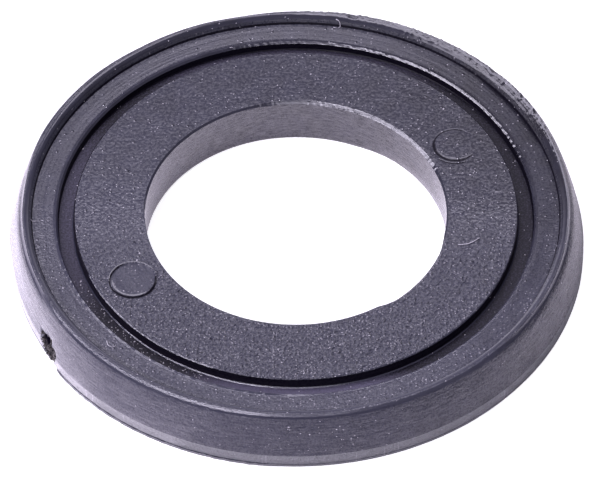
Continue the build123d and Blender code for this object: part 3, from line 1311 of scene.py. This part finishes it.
def fibre_path(surface, places, thickness):
    """A smooth line over the surface through a few places, lifted so that a fibre lies on it."""
    curve = bpy.data.curves.new("fibre_path", "CURVE")
    curve.dimensions = "3D"
    curve.resolution_u = 8
    spline = curve.splines.new("NURBS")
    spline.points.add(len(places) - 1)
    for spot, (degrees, from_axis) in zip(spline.points, places):
        point, _ = top_point(surface, degrees, from_axis * MM)
        spot.co = (*point, 1.0)
    spline.order_u = 3
    spline.use_endpoint_u = True
    holder = bpy.data.objects.new("fibre_path", curve)
    line = bpy.data.meshes.new_from_object(holder)
    path = []
    for vert in line.vertices:
        from_axis = vert.co.xy.length
        degrees = math.degrees(math.atan2(vert.co.y, vert.co.x))
        point, _ = top_point(surface, degrees, from_axis)
        path.append(point + Vector((0, 0, thickness * 0.6)))
    bpy.data.objects.remove(holder)
    bpy.data.curves.remove(curve)
    bpy.data.meshes.remove(line)
    return path


def tube(mesh_data, path, radius, sides=6):
    """A thin closed tube along a path."""
    rings = []
    for k, point in enumerate(path):
        ahead = path[min(k + 1, len(path) - 1)] - path[max(k - 1, 0)]
        turn = ahead.to_track_quat("Z", "Y")
        ring = []
        for side in range(sides):
            around = math.tau * side / sides
            offset = turn @ Vector((math.cos(around) * radius, math.sin(around) * radius, 0))
            ring.append(mesh_data.verts.new(point + offset))
        rings.append(ring)
    for first, second in zip(rings, rings[1:]):
        for side in range(sides):
            after = (side + 1) % sides
            mesh_data.faces.new((first[side], first[after], second[after], second[side]))
    mesh_data.faces.new(reversed(rings[0]))
    mesh_data.faces.new(rings[-1])


class RING_OT_fibres(bpy.types.Operator):
    """Lays the hair and the textile fibres on the ring"""

    bl_idname = "ring.fibres"
    bl_label = "Fibres"

    def execute(self, context):
        surface = ring_surface()
        # Textile lint and hair: thin, pale and slightly shiny
        material = particle("textile_lint", context.scene.rubber_look.lint, 0.4, 0.5)
        for name, (thickness, places) in FIBRES.items():
            radius = thickness * MM / 2
            strand = bmesh.new()
            tube(strand, fibre_path(surface, places, thickness * MM), radius)
            mesh = bpy.data.meshes.new(name)
            strand.to_mesh(mesh)
            strand.free()
            mesh.shade_smooth()
            link_piece(name, mesh, [material])
        return {"FINISHED"}


# The stage


WHITE = (1.0, 1.0, 1.0, 1.0)


def white_card(colour_value, dark, tint, glow):
    """White card: matt, and bright enough behind the ring to read as a white ground; for glossy rays it also
    holds a painted reflection and a painted shadow.
    """
    material, tree = new_material("white_card")
    path = add_node(tree, "LightPath", {}, {}).outputs
    place = ring_place(tree)
    # Painted reflection: a glow that only glossy rays see, white to the left and in the bore, greyer to the
    # right
    outside = vary(tree, 1.0, "MULTIPLY", place.right, (-14.0, 0.0), (1.0, 0.6))
    outside = vary(tree, outside, "ADD", place.right, (17.0, 24.0), (0.0, 0.4))
    # The card is in the ring's shade close to it, but not on the left, and goes dark far out
    leaning = {0: place.right, 1: -0.04, 2: place.distance}
    leant = add_node(tree, "Math", {"operation": "MULTIPLY_ADD"}, leaning)
    open_card = vary(tree, 1.0, "MULTIPLY", leant, (22.6, 24.6), (0.0, 1.0))
    open_card = vary(tree, open_card, "MAXIMUM", place.right, (-20.0, -8.0), (1.0, 0.0))
    open_card = vary(tree, open_card, "MULTIPLY", place.distance, (25.0, 38.0), (1.0, 0.12))
    outside = add_node(tree, "Math", {"operation": "MULTIPLY"}, {0: outside, 1: open_card})
    past_the_bore = add_node(tree, "Math", {"operation": "GREATER_THAN"}, {0: place.distance, 1: 16.0})
    outside = add_node(tree, "Math", {"operation": "MULTIPLY"}, {0: outside, 1: past_the_bore})
    # In the bore the card lies in shade close to the left wall, and is lit up to the right one
    leaning = {0: place.right, 1: -0.07, 2: place.distance}
    leant = add_node(tree, "Math", {"operation": "MULTIPLY_ADD"}, leaning)
    mirrored = vary(tree, outside, "ADD", leant, (11.3, 12.1), (1.0, 0.0))
    mirrored = add_node(tree, "Math", {"operation": "MULTIPLY"}, {0: path["Is Glossy Ray"], 1: mirrored})
    seen = {0: path["Is Camera Ray"], 1: glow, 2: mirrored}
    strength = add_node(tree, "Math", {"operation": "MULTIPLY_ADD"}, seen)
    # Close to the ring, on the right, the rubber mirrors its own shadow
    shadow = vary(tree, path["Is Glossy Ray"], "MULTIPLY", place.distance, (23.1, 24.4), (1.0, 0.0))
    shadow = vary(tree, shadow, "MULTIPLY", place.right, (16.0, 21.0), (0.0, 1.0))
    colours = {0: shadow, 6: rgba(colour_value), 7: rgba(dark)}
    tone = add_node(tree, "Mix", {"data_type": "RGBA"}, colours).outputs[2]
    grain = add_node(tree, "TexNoise", {}, {"Vector": place.point, "Scale": 0.9, "Detail": 2.0})
    bump = add_node(tree, "Bump", {}, {"Strength": 0.2, "Distance": 0.02 * MM, "Height": grain})
    card = add_node(tree, "BsdfDiffuse", {}, {"Color": tone, "Roughness": 0.5, "Normal": bump})
    colours = {0: path["Is Camera Ray"], 6: rgba(tint), 7: WHITE}
    tinted = add_node(tree, "Mix", {"data_type": "RGBA"}, colours).outputs[2]
    light = add_node(tree, "Emission", {}, {"Color": tinted, "Strength": strength})
    both = add_node(tree, "AddShader", {}, {0: card, 1: light})
    add_node(tree, "OutputMaterial", {}, {"Surface": both})
    return material


def add_area_lamp(name, width, depth, radiance, tint):
    """A soft rectangular lamp, as bright as its radiance all over."""
    lamp = bpy.data.lights.new(name, "AREA")
    lamp.shape = "RECTANGLE"
    lamp.size = width
    lamp.size_y = depth
    lamp.color = tint
    lamp.energy = radiance * math.pi * width * depth
    holder = bpy.data.objects.new(name, lamp)
    bpy.context.scene.collection.objects.link(holder)
    return holder


def add_softbox(name, towards, distance, width, depth, radiance, tint, roll=0.0):
    """A softbox that faces the ring."""
    holder = add_area_lamp(name, width, depth, radiance, tint)
    direction = Vector(towards).normalized()
    holder.location = direction * distance
    turn = direction.to_track_quat("Z", "Y").to_matrix() @ Matrix.Rotation(roll, 3, "Z")
    holder.rotation_euler = turn.to_euler()


# Lamps of the light table: name, two corners in millimetres and share of the table's brightest radiance
TABLE_LAMPS = (
    ("table_left", (-62, -16.5), (-12.2, 45), 0.85),
    ("table_near_left", (-40, -60), (-16, -16.5), 0.36),
    ("table_near", (-40, -60), (-9.5, -16.5), 0.32),
    ("table_bore", (-12, 0), (12, 12), 0.36),
    ("table_bore_right", (4.0, 0), (12, 12), 0.7),
)


def add_table_lamp(name, low, high, radiance, tint):
    """A lamp of the light table, which shines up through the card; the camera sees the card alone."""
    width, depth = ((b - a) * MM for a, b in zip(low, high))
    holder = add_area_lamp(name, width, depth, radiance, tint)
    holder.location = ((low[0] + high[0]) / 2 * MM, (low[1] + high[1]) / 2 * MM, 0.05 * MM)
    holder.rotation_euler = (math.pi, 0, 0)
    holder.visible_camera = False


def studio_world(room_radiance, wall_radiance, tint):
    """A plain room: pale overhead, dark round the horizon, and white where the camera looks past the card."""
    world = bpy.data.worlds.new("studio_room")
    world.use_nodes = True
    tree = world.node_tree
    tree.nodes.clear()
    seen = add_node(tree, "LightPath", {}, {}).outputs["Is Camera Ray"]
    direction = add_node(tree, "TexCoord", {}, {}).outputs["Generated"]
    parts = add_node(tree, "SeparateXYZ", {}, {"Vector": direction}).outputs
    ceiling = vary(tree, room_radiance, "MULTIPLY", parts["Z"], (0.05, 0.6), (0.25, 1.0))
    # A pale wall stands behind the ring
    wall = vary(tree, wall_radiance, "MULTIPLY", parts["Y"], (0.45, 0.8), (0.0, 1.0))
    wall = vary(tree, wall, "MULTIPLY", parts["Z"], (0.45, 0.65), (1.0, 0.0))
    lit = add_node(tree, "Math", {"operation": "MAXIMUM"}, {0: ceiling, 1: wall})
    strength = add_node(tree, "Mix", {"data_type": "FLOAT"}, {0: seen, 2: lit, 3: 1.0})
    air = add_node(tree, "Mix", {"data_type": "RGBA"}, {0: seen, 6: rgba(tint), 7: WHITE}).outputs[2]
    light = add_node(tree, "Background", {}, {"Color": air, "Strength": strength})
    add_node(tree, "OutputWorld", {}, {"Surface": light})
    return world


def add_camera(setup):
    """The camera, which looks at its aim from the front."""
    lens = bpy.data.cameras.new("camera")
    lens.sensor_width = 36.0
    lens.lens = setup.lens
    lens.clip_start = 10 * MM
    lens.clip_end = 20.0
    camera = bpy.data.objects.new("camera", lens)
    back = Vector((0, -math.cos(setup.elevation), math.sin(setup.elevation)))
    right = Vector((1, 0, 0))
    up = back.cross(right)
    across = math.cos(setup.roll) * right + math.sin(setup.roll) * up
    above = -math.sin(setup.roll) * right + math.cos(setup.roll) * up
    turn = Matrix((across, above, back)).transposed().to_4x4()
    camera.matrix_world = Matrix.Translation(Vector(setup.aim) + back * setup.distance) @ turn
    bpy.context.scene.collection.objects.link(camera)
    return camera


class RING_OT_stage(bpy.types.Operator):
    """Sets up the pale floor, the lamps, the room and the camera"""

    bl_idname = "ring.stage"
    bl_label = "Stage"

    def execute(self, context):
        setup = context.scene.stage_setup
        floor_mesh = bpy.data.meshes.new("floor")
        sheet = bmesh.new()
        bmesh.ops.create_grid(sheet, x_segments=1, y_segments=1, size=setup.floor_size / 2)
        sheet.to_mesh(floor_mesh)
        sheet.free()
        # The card's painted shadow, seen by glossy rays alone, takes the grey of the scuffed band
        card_shadow_grey = context.scene.rubber_look.band
        floor_mesh.materials.append(white_card(setup.floor, card_shadow_grey, setup.table_tint, setup.card_glow))
        floor = bpy.data.objects.new("floor", floor_mesh)
        context.scene.collection.objects.link(floor)

        tint = setup.tint
        add_softbox("softbox_back", (0.04, 0.44, 0.9), 1.0, 0.66, 0.36, setup.back_light, tint)
        add_softbox("softbox_top", (-0.41, 0.26, 0.87), 0.9, 0.18, 0.32, setup.top_light, tint)
        left, roll = setup.left_light, setup.left_roll
        add_softbox("softbox_left", (-0.715, -0.383, 0.59), 0.9, 1.6, 0.1, left, tint, roll)
        add_softbox("softbox_front", (-0.06, -0.74, 0.67), 0.9, 0.6, 0.13, setup.front_light, tint)
        # The card lies on a light table, which is brightest to the left and under the right of the bore
        for name, low, high, share in TABLE_LAMPS:
            add_table_lamp(name, low, high, setup.table_light * share, setup.table_tint)
        context.scene.world = studio_world(setup.room_light, setup.wall_light, tint)
        context.scene.camera = add_camera(setup)
        context.scene.view_settings.view_transform = "Standard"
        return {"FINISHED"}


class RING_PT_panel(bpy.types.Panel):
    """Lists the ring's pieces and its stage"""

    bl_label = "Sealing ring"
    bl_space_type = "VIEW_3D"
    bl_region_type = "UI"
    bl_category = "Sealing ring"

    def draw(self, context):
        for operator in OPERATORS:
            self.layout.operator(operator.bl_idname)
        for group in ("ring_sizes", "rubber_look", "stage_setup"):
            box = self.layout.box()
            values = getattr(context.scene, group)
            for name in values.__annotations__:
                box.prop(values, name)


OPERATORS = (RING_OT_moulded_body, RING_OT_dust, RING_OT_fibres, RING_OT_stage)
GROUPS = {"ring_sizes": RingSizes, "rubber_look": RubberLook, "stage_setup": StageSetup}


def register():
    """Registers the classes and hangs their settings on the scene."""
    for group in GROUPS.values():
        bpy.utils.register_class(group)
    for operator in OPERATORS:
        bpy.utils.register_class(operator)
    bpy.utils.register_class(RING_PT_panel)
    for name, group in GROUPS.items():
        setattr(bpy.types.Scene, name, PointerProperty(type=group))


def unregister():
    """Takes everything back that register added."""
    for name in GROUPS:
        delattr(bpy.types.Scene, name)
    bpy.utils.unregister_class(RING_PT_panel)
    for operator in reversed(OPERATORS):
        bpy.utils.unregister_class(operator)
    for group in reversed(GROUPS.values()):
        bpy.utils.unregister_class(group)


def main():
    """Builds every piece in order."""
    register()
    bpy.ops.ring.moulded_body()
    bpy.ops.ring.dust()
    bpy.ops.ring.fibres()
    bpy.ops.ring.stage()


if __name__ == "__main__":
    main()
